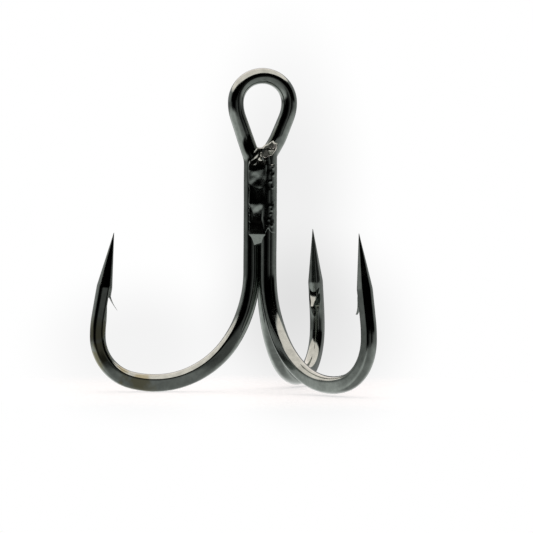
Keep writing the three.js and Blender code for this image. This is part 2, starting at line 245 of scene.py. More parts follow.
class Path:
    """A wire's stations: centres, the two axes of each section, half thicknesses and path length."""

    def __init__(self, centre, inward, across, radial, lateral, taper, s):
        self.centre, self.inward, self.across = centre, inward, across
        self.radial, self.lateral, self.taper, self.s = radial, lateral, taper, s

    def reversed(self):
        return Path(*(field[::-1] for field in self.fields()))

    def fields(self):
        return self.centre, self.inward, self.across, self.radial, self.lateral, self.taper, self.s

    def mirrored(self):
        flip = np.array([-1.0, 1, 1])
        return Path(self.centre * flip, self.inward * flip, self.across * flip,
                    self.radial, self.lateral, self.taper, self.s)

    def joined(self, other):
        return Path(*(np.concatenate(pair) for pair in zip(self.fields(), other.fields())))

    def twisted(self):
        """The eye's twist about the shank, which grows from the neck up."""
        turn = EYE_TURN * smooth(self.centre[:, 2], NECK_Z, NECK_Z + TWIST_RISE)
        c, s = np.cos(turn), np.sin(turn)

        def turned(rows):
            x, y, z = rows.T
            return np.stack([c * x - s * y, s * x + c * y, z], 1)

        return Path(turned(self.centre), turned(self.inward), turned(self.across),
                    self.radial, self.lateral, self.taper, self.s)


def hook_path(azimuth, tapers, rise=0.0):
    """Tip to shank in the plane at an azimuth. tapers are (path length, degrees) by which both flats lean
    toward the outside of the bend; rise lifts this hook's bend, in millimetres."""
    rows = bend_curve()[::-1]
    outward = azimuth_vector(azimuth)
    side = np.cross(UP, outward)
    u, z, heading, s = rows.T
    lifted = z + rise * smooth(s, 0, RISE_LENGTH)
    centre = u[:, None] * outward + lifted[:, None] * UP
    inward = np.cos(heading)[:, None] * outward + np.sin(heading)[:, None] * UP
    across = np.repeat(side[None], len(s), 0)
    radial, lateral = thickness(s)
    taper = np.radians(np.interp(s, *np.array(tapers).T))
    return Path(centre, inward, across, radial, lateral, taper, s)


SHANK_X = WIRE_OFFSET * math.cos(math.radians(RIGHT))
SHANK_Y = WIRE_OFFSET * math.sin(math.radians(RIGHT))
LEG_TOP_X = EYE_HALF_WIDTH - EYE_SIDE_RADIUS * (1 - math.cos(LEG_LEAN))
LEG_TOP_Z = EYE_WIDEST_Z - EYE_SIDE_RADIUS * math.sin(LEG_LEAN)
LEG_FOOT_X = SHANK_X + NECK_RADIUS * (1 - math.cos(LEG_LEAN))
LEG_FOOT_Z = LEG_TOP_Z - (LEG_TOP_X - LEG_FOOT_X) / math.tan(LEG_LEAN)
NECK_Z = LEG_FOOT_Z - NECK_RADIUS * math.sin(LEG_LEAN)


def eye_half():
    """The right half of the shank and eye, from the top of the bend to the middle of the eye, untwisted."""
    points = [(SHANK_X, z, 0.0) for z in np.arange(BEND_START_Z + SWEEP_STEP, NECK_Z, SWEEP_STEP)]
    for angle in np.linspace(0, LEG_LEAN, NECK_STATIONS):
        points.append((SHANK_X + NECK_RADIUS * (1 - math.cos(angle)),
                       NECK_Z + NECK_RADIUS * math.sin(angle), -angle))
    for share in np.linspace(0, 1, LEG_STATIONS)[1:-1]:
        points.append((lerp(LEG_FOOT_X, LEG_TOP_X, share), lerp(LEG_FOOT_Z, LEG_TOP_Z, share), -LEG_LEAN))
    for angle in np.linspace(LEG_LEAN, 0, SIDE_STATIONS):
        points.append((EYE_HALF_WIDTH - EYE_SIDE_RADIUS * (1 - math.cos(angle)),
                       EYE_WIDEST_Z - EYE_SIDE_RADIUS * math.sin(angle), -angle))
    for angle in np.linspace(0, math.pi / 2, TOP_STATIONS)[1:]:
        points.append((EYE_HALF_WIDTH * math.cos(angle), EYE_WIDEST_Z + EYE_RISE * math.sin(angle),
                       math.atan2(math.sin(angle) * EYE_HALF_WIDTH, math.cos(angle) * EYE_RISE)))
    x, z, turn = np.array(points).T
    forward = smooth(z, NECK_Z, EYE_WIDEST_Z)
    centre = np.stack([x, SHANK_Y * (1 - forward), z], 1)
    swing = np.radians(RIGHT) * (1 - np.clip((z - BEND_START_Z) / (NECK_Z - BEND_START_Z), 0, 1))
    inward = np.stack([np.cos(turn) * np.cos(swing), np.cos(turn) * np.sin(swing), np.sin(turn)], 1)
    across = np.stack([-np.sin(swing), np.cos(swing), np.zeros_like(z)], 1)
    radius = lerp(WIRE_RADIUS, EYE_WIRE_RADIUS, smooth(z, NECK_Z, EYE_WIDEST_Z))
    clip = np.full_like(z, UNCLIPPED)
    steps = np.linalg.norm(np.diff(centre, axis=0), axis=1)
    s = -SWEEP_STEP - np.concatenate([[0], np.cumsum(steps)])
    return Path(centre, inward, across, radius, clip, np.zeros_like(z), s)


def section_angles(edge, taper):
    """Angles round a section from the inside of the bend, bunched at the four edges of its flats. A flat
    runs from edge to its mirror image, and both are moved toward the outside by taper."""
    flank = np.sin(np.linspace(0, 1, FLANK_POINTS, endpoint=False) * math.pi / 2)
    flat = 1 - np.cos(np.linspace(0, 1, FLAT_POINTS, endpoint=False) * math.pi / 2)
    quarter = np.concatenate([edge[:, None] * flank, edge[:, None] + (math.pi / 2 - edge[:, None]) * flat], 1)
    second = math.pi - np.concatenate([np.full_like(edge[:, None], math.pi / 2), quarter[:, :0:-1]], 1)
    half = np.concatenate([quarter, second], 1)
    edge = edge[:, None]
    half = half + taper[:, None] * np.clip(np.minimum(half / edge, (math.pi - half) / edge), 0, 1)
    back = np.concatenate([np.full_like(edge, math.pi), half[:, :0:-1]], 1)
    return np.concatenate([half, 2 * math.pi - back], 1)


def wire_rings(path, seed):
    """Rings of points round a path: a round wire cut by two flats, with slight drawing and forging dents."""
    edge = np.arcsin(np.clip(path.lateral / path.radial, *EDGE_LIMITS))
    angle = section_angles(edge, path.taper)
    turned = np.where(angle <= math.pi, angle, 2 * math.pi - angle) - path.taper[:, None]
    flat = path.lateral[:, None] / np.maximum(np.abs(np.sin(turned)), 0.02)
    radius = (path.radial[:, None] ** -EDGE_SHARPNESS + flat ** -EDGE_SHARPNESS) ** (-1 / EDGE_SHARPNESS)
    spread = np.cos(angle), np.sin(angle), path.s[:, None] * 0.5 + 0 * angle
    size = np.clip(path.radial / WIRE_RADIUS, 0, 1)[:, None]
    radius = radius + DENT_DEPTH * size * waves(seed, spread)
    return (path.centre[:, None] + (radius * np.cos(angle))[..., None] * path.inward[:, None]
            + (radius * np.sin(angle))[..., None] * path.across[:, None])


# ---------------------------------------------------------------- barbs

BARB_CUT = [(8.2, -0.5), (7.8, 0.5), (11.6, 0.5), (11.2, 0.03)]  # back from the tip, proud of the skin
BARB_CUT_HALF = 0.75
BARB_ROOT = (7.3, -0.42)
BARB_TIP = (9.5, 1.1)
BARB_BOW = 0.2
BARB_HALF_WIDTHS = (0.7, 0.17)
BARB_HALF_THICKNESS = (0.24, 0.03)
BARB_RINGS, BARB_SIDES = 18, 20
BARB_SQUARENESS = 0.7  # of its section: 1 is an ellipse, and lower is squarer
BARB_SLANT = 0.4  # how far its outer side leans back, for each millimetre of thickness


def beside_point(azimuth, back, proud, sideways):
    """A point beside the hook's straight end: back from the tip, proud of the inner skin, and across."""
    u, z, heading, _ = bend_curve()[-1]
    outward = azimuth_vector(azimuth)
    forward = outward * math.sin(heading) - UP * math.cos(heading)
    inward = outward * math.cos(heading) + UP * math.sin(heading)
    across = np.cross(UP, outward)
    return outward * u + UP * z - forward * back + inward * (SPEAR_RADIAL + proud) + across * sideways


def barb_cutter(azimuth):
    """The chisel's cut behind the barb, as a prism across the hook's plane."""
    left = [beside_point(azimuth, back, proud, -BARB_CUT_HALF) for back, proud in BARB_CUT]
    right = [beside_point(azimuth, back, proud, BARB_CUT_HALF) for back, proud in BARB_CUT]
    count = len(BARB_CUT)
    faces = [tuple(range(count)), tuple(range(2 * count - 1, count - 1, -1))]
    for k in range(count):
        turn = (k + 1) % count
        faces.append((k, k + count, turn + count, turn))
    uvs = [(0, 0)] * sum(len(face) for face in faces)
    return make_object("barb_cutter", left + right, faces, uvs)


def barb_sliver(azimuth, lift=1.0, lean=0.0):
    """The raised sliver: a thin tongue that leaves the skin, bows outwards and ends blunt."""
    rings = []
    for share in np.linspace(0, 1, BARB_RINGS):
        back = lerp(BARB_ROOT[0], BARB_TIP[0], share)
        proud = lerp(BARB_ROOT[1], BARB_TIP[1] * lift, share) - BARB_BOW * math.sin(math.pi * share)
        half = lerp(*BARB_HALF_WIDTHS, smooth(share, 0.1, 1))
        thick = lerp(*BARB_HALF_THICKNESS, share ** 0.8)
        ring = []
        for angle in np.linspace(0, 2 * math.pi, BARB_SIDES, endpoint=False):
            c, s = math.cos(angle), math.sin(angle)
            wide = half * math.copysign(abs(c) ** BARB_SQUARENESS, c)
            tall = thick * math.copysign(abs(s) ** BARB_SQUARENESS, s)
            ring.append(beside_point(azimuth, back + BARB_SLANT * tall, proud + tall, wide + lean * share))
        rings.append(ring)
    return tube("barb_sliver", np.array(rings))


def outward_faces(obj):
    """Turns every face outwards, whatever way the piece was wound."""
    bm = bmesh.new()
    bm.from_mesh(obj.data)
    bmesh.ops.recalc_face_normals(bm, faces=bm.faces)
    bm.to_mesh(obj.data)
    bm.free()


def add_barb(wire, azimuth, **shape):
    cutter = barb_cutter(azimuth)
    outward_faces(cutter)
    boolean(wire, cutter, "DIFFERENCE")
    sliver = barb_sliver(azimuth, **shape)
    outward_faces(sliver)
    boolean(wire, sliver, "UNION")


# ---------------------------------------------------------------- the two wires


def double_hook_wire():
    head = eye_half()
    right = hook_path(RIGHT, [(8, 0), (17, 8), (30, 4), (40, 0)], rise=HOOK_RISE).joined(head)
    left = hook_path(RIGHT, [(9, 0), (17, 13), (25, 12), (31, -3), (40, 0)], rise=-LEFT_DROP).joined(head)
    left = left.mirrored().reversed()
    left = Path(*(field[1:] for field in left.fields()))
    path = right.joined(left).twisted()
    rings = wire_rings(path, seed=11)
    length = np.concatenate([[0], np.cumsum(np.linalg.norm(np.diff(path.centre, axis=0), axis=1))])
    wire = tube("double_hook_wire_fine", rings, uv_along=length)
    outward_faces(wire)
    add_barb(wire, RIGHT, lean=-0.1)
    add_barb(wire, LEFT)
    return wire


TORN_RINGS = 16  # between the round shank and the sheared end
TORN_START_Z = -10.6
RIM_WIDTH = 0.2  # share of the radius that the raised rim takes
RIM_RISE = 0.3
RIM_PARTS = (0.55, 0.35, 0.2)  # of its rise: even, ragged and jagged
RIM_START = 0.88  # share of the torn stretch from which it rises
FLARE_PARTS = (0.02, 0.035, 0.015)  # shares of the radius by which the end spreads: even, ragged and jagged
FLARE_START = 0.75
DULL_EDGE = 0.8  # share of the rim's width at which the dark broken metal starts; its darkness is partly painted shade of the pit
CRATER_DEPTH = 0.8
CRATER_RINGS = 14
CRATER_SPAN = (0.7, 0.06)  # shares of the radius from the first of its rings to the last
CRATER_LIMITS = (-0.2, 0.75)  # lowest and highest of its facets
CRATER_GRAIN = 0.07
CRATER_FACETS = [(1.3, 0.2, 0.1), (-0.9, -0.9, 0.0), (-0.3, 1.2, 0.1)]  # slopes in x and y, and level


def torn_height(x, y):
    """Height of the torn metal inside the rim, below the cut's mean plane: a pit of a few tilted facets."""
    levels = [level + slope_x * x + slope_y * y for slope_x, slope_y, level in CRATER_FACETS]
    pit = np.max(levels, axis=0)
    grain = waves(7, (6 * x, 6 * y))
    return np.clip(pit, *CRATER_LIMITS) - CRATER_DEPTH + CRATER_GRAIN * grain


def single_hook_wire():
    """The third hook, whose own end is sheared off at a slant under the eye and has a ragged rim."""
    bend = hook_path(SINGLE, [(8, 0), (17, 10), (30, 5), (40, 0)], rise=HOOK_RISE)
    outward = azimuth_vector(SINGLE)
    axis = outward * WIRE_OFFSET
    heights = np.arange(BEND_START_Z + SWEEP_STEP, TORN_START_Z, SWEEP_STEP)
    count = len(heights)
    shank = Path(axis + heights[:, None] * UP, np.repeat(outward[None], count, 0),
                 np.repeat(np.cross(UP, outward)[None], count, 0), np.full(count, WIRE_RADIUS),
                 np.full(count, UNCLIPPED), np.zeros(count), BEND_START_Z - heights)
    rings = wire_rings(bend.joined(shank), seed=23)
    flat_end = rings[-1] - axis
    cut = azimuth_vector(SHEAR_AZIMUTH)
    bearing = np.arctan2(flat_end[:, 1], flat_end[:, 0])
    ragged = waves(31, (3 * np.cos(bearing), 3 * np.sin(bearing)), low=0.6, high=2.4)
    jagged = waves(37, (9 * np.cos(bearing), 9 * np.sin(bearing)), low=0.6, high=2.4)

    def uneven(even, ragged_part, jagged_part):
        return even + ragged_part * ragged + jagged_part * jagged

    crest = RIM_RISE * uneven(*RIM_PARTS)
    extra = []
    for share in np.linspace(0, 1, TORN_RINGS + 1)[1:]:
        ring = flat_end.copy()
        fall = share * SHEAR_SLOPE * (flat_end[:, :2] @ cut[:2])
        flare = 1 + uneven(*FLARE_PARTS) * smooth(share, FLARE_START, 1)
        ring[:, :2] *= flare[:, None]
        ring[:, 2] = lerp(TORN_START_Z, SHEARED_END_Z, share) - fall + crest * smooth(share, RIM_START, 1)
        extra.append(ring + axis)
    rim_shares = [1 - RIM_WIDTH * part for part in (0.3, 0.65, 1)]
    for share in [*rim_shares, *np.linspace(*CRATER_SPAN, CRATER_RINGS)]:
        ring = flat_end.copy()
        ring[:, :2] *= share
        fall = SHEAR_SLOPE * (ring[:, :2] @ cut[:2])
        rim = smooth(share, 1 - RIM_WIDTH * 1.5, 1 - RIM_WIDTH * 0.2)
        ring[:, 2] = SHEARED_END_Z - fall + lerp(torn_height(ring[:, 0], ring[:, 1]), crest, rim)
        extra.append(ring + axis)
    rings = np.concatenate([rings, np.array(extra)])
    length = np.concatenate([[0], np.cumsum(np.linalg.norm(np.diff(rings[:, 0], axis=0), axis=1))])
    wire = tube("single_hook_wire_fine", rings, uv_along=length)
    outward_faces(wire)
    add_barb(wire, SINGLE, lift=0.95, lean=0.05)
    return wire


# ---------------------------------------------------------------- the filler metal

INNER_RADIUS = 0.68
LEAST_THICKNESS = 0.02  # of a groove's block, where no filler shows
TONGUE_Z = -18.55
TONGUE_END_Z = -19.95
FILM_TOP_Z = -9.3
CROWN_RISE = 1.4  # how far the block goes on above its film's top
BLOCK_BELOW = 0.6  # and below the tongue's end
BLOCK_ASIDE = 7  # degrees that it goes on beyond the film's edges
BLOCK_STEP_Z = 0.07
BLOCK_STEP_DEGREES = 1.1
GROOVES = {"left": 210, "right": 330, "rear": 90}

FACE_WAVE = 0.01
FACE_DRIFT = (0.14, 0.05)  # how far the broad and the fine ripples shift its steps up and down
FACE_REACH = 1.1  # radians either side of the groove's middle
FACE_HALF_WIDTH = 0.98  # beyond which it falls away
FACE_FALL = 1.3
FOOT_SLOPE = 0.3

FILM_RAG = 2.2  # degrees that its side edges wander
FILM_FADE = 3  # and degrees either way over which they thin out
EAR_RISE, EAR_DEGREES, EAR_WIDTH = 0.6, 42, 7  # a bay in its lower edge, beside the groove's middle
BARE_DEPTH = 0.07  # how far under the wires' skin the block lies where there is no film
BEAD_RISE, BEAD_WIDTH = 0.014, 0.05  # where film and face meet
LUMP_RADIUS = 1.8  # from the shank's axis, where a lump's bearing is turned into millimetres

CUT_BESIDE = 0.08  # how far beside the single wire's skin its missing part still counts
CUT_BELOW = 0.12  # and how far below the cut


def wire_axes_at(z):
    """Each wire's axis as x and y at heights z."""
    half = eye_half()
    still = np.zeros_like(z)
    axes = {}
    for hook, wire in (("right", half.twisted()), ("left", half.mirrored().twisted())):
        axes[hook] = tuple(np.interp(z, wire.centre[:, 2], wire.centre[:, axis]) for axis in (0, 1))
    axes["single"] = (still, still - WIRE_OFFSET)
    return axes


def past_the_cut(theta, z, distance):
    """Whether points lie above the single wire's sheared end, where its shank would have gone on."""
    x, y = distance * np.cos(theta), distance * np.sin(theta) + WIRE_OFFSET
    cut = azimuth_vector(SHEAR_AZIMUTH)
    height = SHEARED_END_Z - SHEAR_SLOPE * (x * cut[0] + y * cut[1])
    return (np.hypot(x, y) < WIRE_RADIUS + CUT_BESIDE) & (z > height - CUT_BELOW)


def wires_outline(theta, z):
    """Distance from the shank's axis to the outermost wire, at each angle and height."""
    best = np.full(theta.shape, INNER_RADIUS * 0.9)
    for hook, (x, y) in wire_axes_at(z).items():
        along = x * np.cos(theta) + y * np.sin(theta)
        inside = WIRE_RADIUS ** 2 - (x ** 2 + y ** 2 - along ** 2)
        reach = along + np.sqrt(np.maximum(inside, 0))
        there = (inside > 0) & (along > 0)
        if hook == "single":
            there &= ~past_the_cut(theta, z, reach)
        best = np.where(there, np.maximum(best, reach), best)
    return best


def fill_face(z, off, knots, broad, fine, top, shy):
    """Distance from the shank's axis to the flat face that the filler lays across two wires."""
    above_tongue = smooth(z, TONGUE_Z, TONGUE_Z + 1)
    drifted = z + (FACE_DRIFT[0] * broad + FACE_DRIFT[1] * fine) * above_tongue
    level = np.interp(drifted, *np.array(sorted(knots)).T) + FACE_WAVE * broad * above_tongue
    sideways = level * np.tan(np.clip(off, -FACE_REACH, FACE_REACH))
    level = level - FACE_FALL * np.maximum(np.abs(sideways) - FACE_HALF_WIDTH, 0) ** 2
    level = level - shy * np.maximum(sideways - 0.1, 0) * smooth(z, top - 0.1, top + 0.3)
    foot = TONGUE_END_Z + FOOT_SLOPE * sideways
    face = level / np.maximum(np.cos(off), 0.4) * smooth(z, foot - 0.04, foot + 0.1)
    return np.where(np.abs(off) < FACE_REACH, face, 0)


def film_cover(z, aside, reach, top, fine, speck):
    """How fully the film covers the wires, from 0 to 1: it is ragged at its sides, its foot and its top."""
    off = np.radians(aside)
    rag = math.radians(FILM_RAG) * (0.7 * fine + 0.5 * speck)
    low, high = (smooth(off, math.radians(edge - FILM_FADE) + rag, math.radians(edge + FILM_FADE) + rag)
                 for edge in (-reach[0], reach[1]))
    ear = EAR_RISE * np.exp(-((aside - EAR_DEGREES) / EAR_WIDTH) ** 2)
    ends = smooth(z, TONGUE_Z + ear - 0.05 + 0.06 * fine, TONGUE_Z + ear + 0.12 + 0.06 * fine)
    ends = ends * (1 - smooth(z, top - 0.7 + 0.1 * fine, top - 0.3 + 0.1 * fine))
    return low * (1 - high) * ends


def groove_fill(side, knots, reach, film, seed, top=FILM_TOP_Z, shy=0.0, lumps=()):
    """The filler in one groove: a face laid across two wires, and a film that wraps over them.
    knots are heights and distances of the face from the shank's axis; reach gives the film's two edges in
    degrees from the groove's middle; shy is how steeply the top falls away to the right; lumps are height,
    bearing, size and rise."""
    middle = GROOVES[side]
    bearings = np.arange(middle - reach[0] - BLOCK_ASIDE,
                         middle + reach[1] + BLOCK_ASIDE + BLOCK_STEP_DEGREES, BLOCK_STEP_DEGREES)
    heights = np.arange(TONGUE_END_Z - BLOCK_BELOW, top + CROWN_RISE, BLOCK_STEP_Z)
    z, bearing = np.meshgrid(heights, bearings, indexing="ij")
    theta, aside = np.radians(bearing), bearing - middle
    broad = waves(seed, (z * 1.3, theta * 2.4))
    fine = waves(seed + 1, (z * 3.2, theta * 6), count=20, low=0.2)
    speck = waves(seed + 2, (z * 8, theta * 15), count=24, low=0.1)

    face = fill_face(z, np.radians(aside), knots, broad, fine, top, shy)
    covered = film_cover(z, aside, reach, top, fine, speck)
    coat = lerp(-BARE_DEPTH, film * (1 + 0.4 * broad + 0.12 * fine + 0.04 * speck), covered)
    surface = wires_outline(theta, z) + coat
    bead = BEAD_RISE * np.exp(-np.abs(surface - face) / BEAD_WIDTH) * covered
    mixed = np.maximum(surface, face) + bead
    for height, at, size, rise in lumps:
        away = ((z - height) / size) ** 2 + (np.radians(bearing - at) * LUMP_RADIUS / size) ** 2
        mixed = mixed + rise * np.exp(-away) * (1 + 0.5 * fine) * covered
    outer = np.where(past_the_cut(theta, z, mixed), 0, mixed)
    outer = np.maximum(outer, INNER_RADIUS + LEAST_THICKNESS)
    return polar_block(f"braze_{side}_fill", theta, z, outer)


def polar_block(name, theta, z, outer):
    """A closed block between INNER_RADIUS and an outer surface given on a grid of angles and heights."""
    rows, columns = theta.shape
    vertices = []
    for radius in (outer, np.full_like(outer, INNER_RADIUS)):
        vertices.append(np.stack([radius * np.cos(theta), radius * np.sin(theta), z], -1).reshape(-1, 3))
    vertices = np.concatenate(vertices)
    inner = rows * columns
    faces = []
    for i in range(rows - 1):
        for j in range(columns - 1):
            a = i * columns + j
            faces.append((a, a + 1, a + 1 + columns, a + columns))
            faces.append((inner + a, inner + a + columns, inner + a + 1 + columns, inner + a + 1))
    for i in range(rows - 1):
        for j in (0, columns - 1):
            a, b = i * columns + j, (i + 1) * columns + j
            faces.append((a, b, inner + b, inner + a))
    for j in range(columns - 1):
        for i in (0, rows - 1):
            a = i * columns + j
            faces.append((a, a + 1, inner + a + 1, inner + a))
    block = make_object(name, vertices, faces)
    outward_faces(block)
    return block


WEB_HALF_WIDTH = 1.5
WEB_SAG_Z = -7.9
WEB_RISE = 1.0
WEB_BOTTOM_Z = -10.7
WEB_MIDDLE_Y = 0.5
WEB_HALF_DEPTHS = (0.6, 0.85)  # in the middle and at the legs
WEB_POINTS = 44  # rings across, and points round each
WEB_SKEW = -0.2  # how the web follows the legs' twist: its way back for each millimetre across


def eye_web():
    """The filler that closes the crotch of the eye: a saddle between the two legs, behind the sheared end."""
    rings = []
    for x in np.linspace(-WEB_HALF_WIDTH, WEB_HALF_WIDTH, WEB_POINTS):
        share = abs(x) / WEB_HALF_WIDTH
        top = WEB_SAG_Z + WEB_RISE * share ** 2.2
        half = lerp(*WEB_HALF_DEPTHS, share ** 1.6)
        ring = []
        for angle in np.linspace(0, 2 * math.pi, WEB_POINTS, endpoint=False):
            c, s = math.cos(angle), math.sin(angle)
            y = WEB_MIDDLE_Y + WEB_SKEW * x + half * math.copysign(abs(c) ** 0.8, c)
            z = (top + WEB_BOTTOM_Z) / 2 + (top - WEB_BOTTOM_Z) / 2 * math.copysign(abs(s) ** 0.55, s)
            ring.append((x, y, z))
        rings.append(ring)
    web = tube("braze_eye_web_fill", np.array(rings))
    outward_faces(web)
    return web


# ---------------------------------------------------------------- node helpers


def node(tree, kind, inputs=(), **settings):
    """Adds a node, sets its plain settings, and fills inputs given as {name or index: value or socket}."""
    made = tree.nodes.new(kind)
    for key, value in settings.items():
        setattr(made, key, value)
    for key, value in dict(inputs).items():
        if isinstance(value, bpy.types.NodeSocket):
            tree.links.new(value, made.inputs[key])
        else:
            made.inputs[key].default_value = value
    return made


def maths(tree, operation, a, b=0.0, c=0.0):
    return node(tree, "ShaderNodeMath", {0: a, 1: b, 2: c}, operation=operation).outputs[0]


def steps(tree, value, low, high, start=0.0, end=1.0):
    """A smoothstep of value from low to high, scaled to run from start to end."""
    made = node(tree, "ShaderNodeMapRange", {0: value, 1: low, 2: high, 3: start, 4: end},
                interpolation_type="SMOOTHSTEP")
    return made.outputs[0]


def mixed_colour(tree, share, first, second):
    """The first colour where share is 0, and the second where it is 1."""
    return node(tree, "ShaderNodeMix", {0: share, 6: first, 7: second}, data_type="RGBA").outputs[2]


def noise(tree, place, scale, detail, roughness=0.5):
    settings = {"Vector": place, "Scale": scale, "Detail": detail, "Roughness": roughness}
    return node(tree, "ShaderNodeTexNoise", settings).outputs[0]


def curve_of(tree, value, stops):
    """A smooth grey ramp through (place from 0 to 1, level) stops, as a number."""
    ramp = node(tree, "ShaderNodeValToRGB", {0: value})
    ramp.color_ramp.interpolation = "EASE"
    elements = ramp.color_ramp.elements
    while len(elements) > 1:
        elements.remove(elements[-1])
    elements[0].position, elements[0].color = stops[0][0], (stops[0][1],) * 3 + (1,)
    for place, level in stops[1:]:
        elements.new(place).color = (level,) * 3 + (1,)
    return ramp.outputs[0]


# ---------------------------------------------------------------- materials


# Noise scales, per metre.
CLOUD_SCALE, MOTTLE_SCALE, TARNISH_SCALE, PIT_SCALE, PIT_GROUP_SCALE = 900.0, 2600.0, 260.0, 1500.0, 420.0
LINES_STRETCH = (90.0, 0.9, 1.0)  # drawing lines: many round the wire, few along it
TARNISH_X = (-0.0105, -0.0135)  # metres between which the left bend's tarnish comes in, going outwards
TARNISH_Z = (-0.0275, -0.031)  # and going down
PIT_DEPTH = 1.4  # for each unit of the skin's lumps


def tarnished(tree, place, tint, tarnish):
    """The tint, with patches of tarnish low on the left bend."""
    x_y_z = node(tree, "ShaderNodeSeparateXYZ", {0: place})
    near = steps(tree, x_y_z.outputs[0], *TARNISH_X)
    low = steps(tree, x_y_z.outputs[2], *TARNISH_Z)
    patches = steps(tree, noise(tree, place, TARNISH_SCALE, 3.0, 0.6), 0.46, 0.56)
    amount = maths(tree, "MULTIPLY", patches, maths(tree, "MULTIPLY", near, low))
    return mixed_colour(tree, amount, tint, (*tarnish, 1))


def metal_material(name, tint, roughness, lines, lumps, tarnish=None):
    """Black nickel over metal. lines is the depth of the drawing lines along the wire, lumps of the skin."""
    material = bpy.data.materials.new(name)
    material.use_nodes = True
    tree = material.node_tree
    shader = tree.nodes["Principled BSDF"]
    shader.inputs["Metallic"].default_value = 1.0
    place = node(tree, "ShaderNodeTexCoord").outputs["Object"]
    cloud = noise(tree, place, CLOUD_SCALE, 4.0, 0.6)
    mottle = noise(tree, place, MOTTLE_SCALE, 3.0, 0.55)

    shade = steps(tree, cloud, 0.3, 0.7, 0.86, 1.1)
    fleck = steps(tree, mottle, 0.35, 0.65, 0.95, 1.05)
    level = maths(tree, "MULTIPLY", shade, fleck)
    tinted = node(tree, "ShaderNodeVectorMath", {0: tint, 3: level}, operation="SCALE").outputs[0]
    if tarnish:
        tinted = tarnished(tree, place, tinted, tarnish)
    tree.links.new(tinted, shader.inputs["Base Color"])
    rough = steps(tree, cloud, 0.3, 0.75, roughness * 0.75, roughness * 1.5)
    tree.links.new(rough, shader.inputs["Roughness"])

    height = maths(tree, "MULTIPLY", mottle, lumps)
    if lines:
        grain = node(tree, "ShaderNodeUVMap", uv_map="grain").outputs[0]
        stretched = node(tree, "ShaderNodeVectorMath", {0: grain, 1: LINES_STRETCH}, operation="MULTIPLY")
        drawn = noise(tree, stretched.outputs[0], 1.0, 2.0)
        height = maths(tree, "MULTIPLY_ADD", drawn, lines, height)
    cells = node(tree, "ShaderNodeTexVoronoi", {"Vector": place, "Scale": PIT_SCALE, "Randomness": 1.0})
    pit = steps(tree, cells.outputs["Distance"], 0.02, 0.12, -lumps * PIT_DEPTH, 0.0)
    rare = steps(tree, noise(tree, place, PIT_GROUP_SCALE, 1.0), 0.58, 0.62)
    height = maths(tree, "ADD", height, maths(tree, "MULTIPLY", pit, rare))
    bump = node(tree, "ShaderNodeBump", {"Strength": 1.0, "Distance": MM, "Height": height})
    tree.links.new(bump.outputs[0], shader.inputs["Normal"])
    return material


FLOOR_COLOUR = (0.68, 0.68, 0.68, 1)
FLOOR_FADE = (0.2, 0.97)  # shares of its radius between which it fades out
FLOOR_ALPHA = 0.3


def floor_material(radius):
    """A plain pale floor that fades out at its rim, so no edge of it shows."""
    material = bpy.data.materials.new("floor_paper")
    material.use_nodes = True
    tree = material.node_tree
    shader = tree.nodes["Principled BSDF"]
    shader.inputs["Base Color"].default_value = FLOOR_COLOUR
    shader.inputs["Roughness"].default_value = 0.9
    shader.inputs["Specular IOR Level"].default_value = 0.1
    place = node(tree, "ShaderNodeTexCoord").outputs["Object"]
    away = node(tree, "ShaderNodeVectorMath", {0: place}, operation="LENGTH").outputs["Value"]
    near, far = (radius * share for share in FLOOR_FADE)
    tree.links.new(steps(tree, away, near, far, FLOOR_ALPHA, 0.0), shader.inputs["Alpha"])
    return material


# ---------------------------------------------------------------- the studio

CAMERA_AZIMUTH = math.radians(-39.5)
CAMERA_ELEVATION = math.radians(1.4)
CAMERA_ROLL = math.radians(0.3)
CAMERA_DISTANCE = 0.595
AIM = (0.6, -22.65)  # millimetres to the right of the shank, and height
VIEW_WIDTH = 66.1  # millimetres across the picture at the shank
SENSOR_WIDTH = 36
FLOOR_RADIUS = 0.05
FLOOR_SIDES = 96
FLOOR_GAP = 0.02  # millimetres under the lowest bend

BACK = Vector((math.sin(CAMERA_AZIMUTH) * math.cos(CAMERA_ELEVATION),
               -math.cos(CAMERA_AZIMUTH) * math.cos(CAMERA_ELEVATION), math.sin(CAMERA_ELEVATION)))
SIDE = Vector((math.cos(CAMERA_AZIMUTH), math.sin(CAMERA_AZIMUTH), 0))
ABOVE = BACK.cross(SIDE)


def add_camera():
    camera = bpy.data.objects.new("camera", bpy.data.cameras.new("camera"))
    bpy.context.scene.collection.objects.link(camera)
    bpy.context.scene.camera = camera
    camera.data.sensor_width = SENSOR_WIDTH
    camera.data.lens = SENSOR_WIDTH * CAMERA_DISTANCE / (VIEW_WIDTH * MM)
    camera.data.clip_start = 0.01
    camera.data.clip_end = 10
    aim = SIDE * AIM[0] * MM + Vector((0, 0, AIM[1] * MM))
    turned = Matrix((SIDE, ABOVE, BACK)).transposed().to_4x4()
    camera.matrix_world = (Matrix.Translation(aim + BACK * CAMERA_DISTANCE) @ turned
                           @ Matrix.Rotation(CAMERA_ROLL, 4, "Z"))


def add_floor():
    mesh = bpy.data.meshes.new("floor")
    corners = [(FLOOR_RADIUS * math.cos(a), FLOOR_RADIUS * math.sin(a), 0)
               for a in np.linspace(0, 2 * math.pi, FLOOR_SIDES, endpoint=False)]
    mesh.from_pydata(corners, [], [tuple(range(len(corners)))])
    floor = bpy.data.objects.new("floor", mesh)
    floor.location.z = (FLOOR_Z - LEFT_DROP - FLOOR_GAP) * MM
    bpy.context.scene.collection.objects.link(floor)
    mesh.materials.append(floor_material(FLOOR_RADIUS))
    floor.visible_glossy = False


